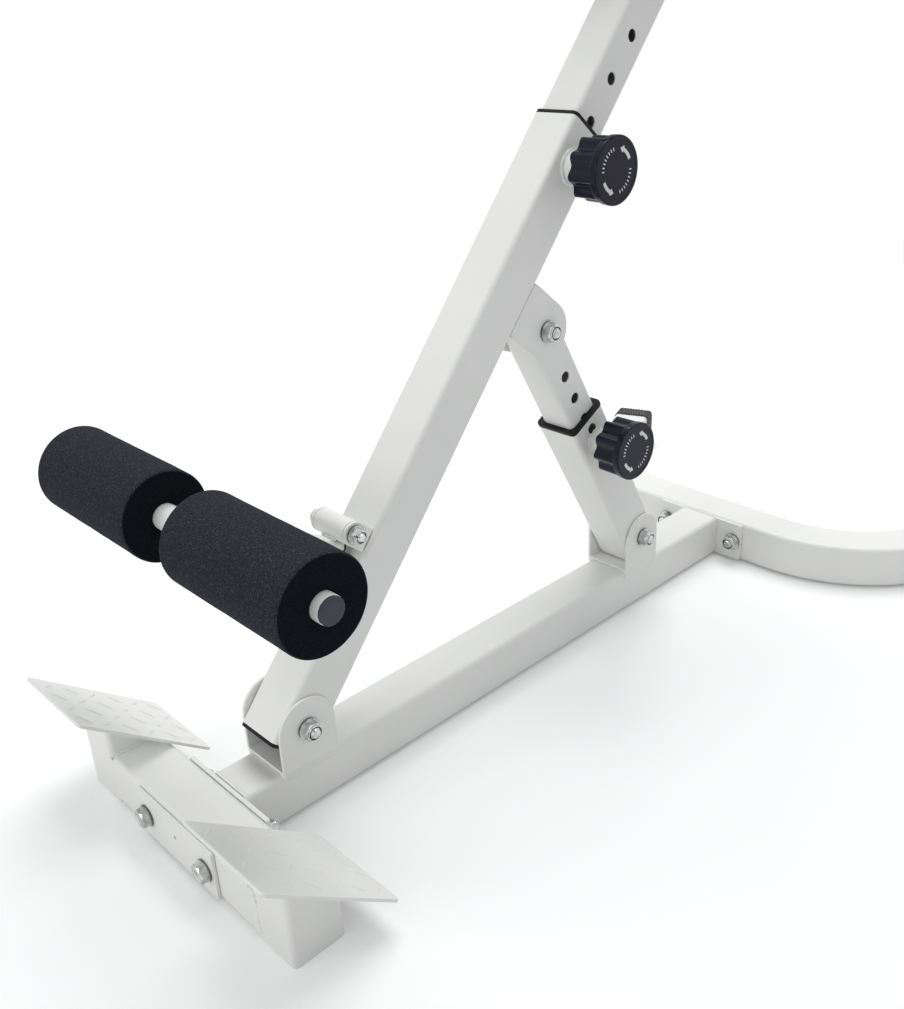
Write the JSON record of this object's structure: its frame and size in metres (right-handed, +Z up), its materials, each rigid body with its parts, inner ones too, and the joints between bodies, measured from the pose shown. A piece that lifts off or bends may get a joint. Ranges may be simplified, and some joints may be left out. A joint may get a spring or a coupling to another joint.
{
  "type": "roman chair",
  "caption": "Adjustable roman chair bench: leaning telescopic post with hip pads and side handles, braced by a pinned strut, with foam ankle rollers, tread plates and a bent rear stabiliser.",
  "frame": {"origin": "centre of the bounding box on the floor", "axes": "+X to the user's right (the knob side), +Y from the foot end to the rear stabiliser, +Z up"},
  "size_m": [0.6144, 1.0358, 0.8894],
  "materials": {
    "white_coat": "off-white satin powder coat",
    "zinc": "bright zinc plate",
    "black_plastic": "matt moulded plastic",
    "gloss_plastic": "glossy moulded plastic",
    "rubber": "matt ribbed rubber",
    "foam": "open black foam",
    "vinyl": "grained upholstery vinyl over foam",
    "board": "painted plywood"
  },
  "bodies": {
    "frame": {"base_tube": "white_coat", "front_joint_plate": "white_coat", "foot_clamp_plate": "white_coat", "foot_beam": "white_coat", "left_riser": "white_coat", "right_riser": "white_coat", "left_glide": "black_plastic", "right_glide": "black_plastic", "left_tread_plate": "white_coat", "right_tread_plate": "white_coat", "left_beam_bolt": "zinc", "right_beam_bolt": "zinc", "front_clevis": "white_coat", "front_pivot_bolt": "zinc", "rear_clevis": "white_coat", "rear_pivot_bolt": "zinc", "rear_joint_plate": "white_coat", "left_stabiliser_bolt": "zinc", "right_stabiliser_bolt": "zinc", "rear_stabiliser": "white_coat", "left_stabiliser_cap": "rubber", "right_stabiliser_cap": "rubber"},
    "post": {"post_tube": "white_coat", "post_end_cap": "black_plastic", "post_bushing": "black_plastic", "post_pin_boss": "white_coat", "strut_bracket": "white_coat", "strut_pivot_bolt": "zinc", "roller_bracket": "white_coat", "roller_pivot_bolt": "zinc"},
    "carriage": {"inner_post": "white_coat", "inner_post_cap": "black_plastic", "pad_crossbar": "white_coat", "left_crossbar_cap": "black_plastic", "right_crossbar_cap": "black_plastic", "left_pad_board": "board", "right_pad_board": "board", "left_hip_pad": "vinyl", "right_hip_pad": "vinyl", "handlebar": "white_coat", "left_grip": "rubber", "right_grip": "rubber"},
    "strut_lower": {"strut_outer": "white_coat", "strut_collar": "black_plastic", "strut_pin_boss": "white_coat"},
    "strut_upper": {"strut_inner": "white_coat"},
    "post_pin": {"post_plunger": "zinc", "post_spring": "zinc"},
    "post_pin_knob": {"post_knob": "gloss_plastic"},
    "strut_pin": {"strut_plunger": "zinc", "strut_spring": "zinc"},
    "strut_pin_knob": {"strut_knob": "gloss_plastic"},
    "ankle_arm": {"roller_arm": "white_coat", "roller_arm_plug": "black_plastic", "arm_sleeve": "white_coat", "roller_bar": "white_coat", "left_bar_plug": "black_plastic", "right_bar_plug": "black_plastic"},
    "left_roller": {"left_foam_roller": "foam"},
    "right_roller": {"right_foam_roller": "foam"}
  },
  "joints": [
    {"name": "post_tilt", "type": "hinge", "parent": "frame", "child": "post", "pos_m": [0, -0.36477, 0.0893], "axis": [1, 0, 0], "range_deg": [-8.2, 8.3]},
    {"name": "strut_swing", "type": "hinge", "parent": "frame", "child": "strut_lower", "pos_m": [0, 0.11124, 0.0893], "axis": [1, 0, 0], "range_deg": [-2.5, 2.5]},
    {"name": "strut_extend", "type": "slide", "parent": "strut_lower", "child": "strut_upper", "axis": [0, -0.487, 0.8734], "range_m": [-0.062, 0.062]},
    {"name": "post_height", "type": "slide", "parent": "post", "child": "carriage", "axis": [0, 0.6428, 0.766], "range_m": [-0.135, 0.045]},
    {"name": "post_pin_pull", "type": "slide", "parent": "post", "child": "post_pin", "axis": [1, 0, 0], "range_m": [0, 0.009], "stiffness_N_per_m": 600, "springref_m": -0.005, "deforming": ["post_spring"]},
    {"name": "post_knob_turn", "type": "hinge", "parent": "post_pin", "child": "post_pin_knob", "pos_m": [0.025, -0.00995, 0.51216], "axis": [1, 0, 0], "continuous": true},
    {"name": "strut_pin_pull", "type": "slide", "parent": "strut_lower", "child": "strut_pin", "axis": [1, 0, 0], "range_m": [0, 0.009], "stiffness_N_per_m": 600, "springref_m": -0.005, "deforming": ["strut_spring"]},
    {"name": "strut_knob_turn", "type": "hinge", "parent": "strut_pin", "child": "strut_pin_knob", "pos_m": [0.025, 0.03064, 0.23385], "axis": [1, 0, 0], "continuous": true},
    {"name": "roller_arm_swing", "type": "hinge", "parent": "post", "child": "ankle_arm", "pos_m": [0, -0.29084, 0.24788], "axis": [-1, 0, 0], "range_deg": [0, 60]},
    {"name": "left_roller_spin", "type": "hinge", "parent": "ankle_arm", "child": "left_roller", "pos_m": [-0.10025, -0.43229, 0.3013], "axis": [1, 0, 0], "continuous": true},
    {"name": "right_roller_spin", "type": "hinge", "parent": "ankle_arm", "child": "right_roller", "pos_m": [0.10025, -0.43229, 0.3013], "axis": [1, 0, 0], "continuous": true}
  ],
  "couplings": [
    {"joint": "strut_swing", "follows": "post_tilt", "ratio": 0.26982},
    {"joint": "strut_extend", "follows": "post_tilt", "m_per_rad": 0.41575}
  ]
}
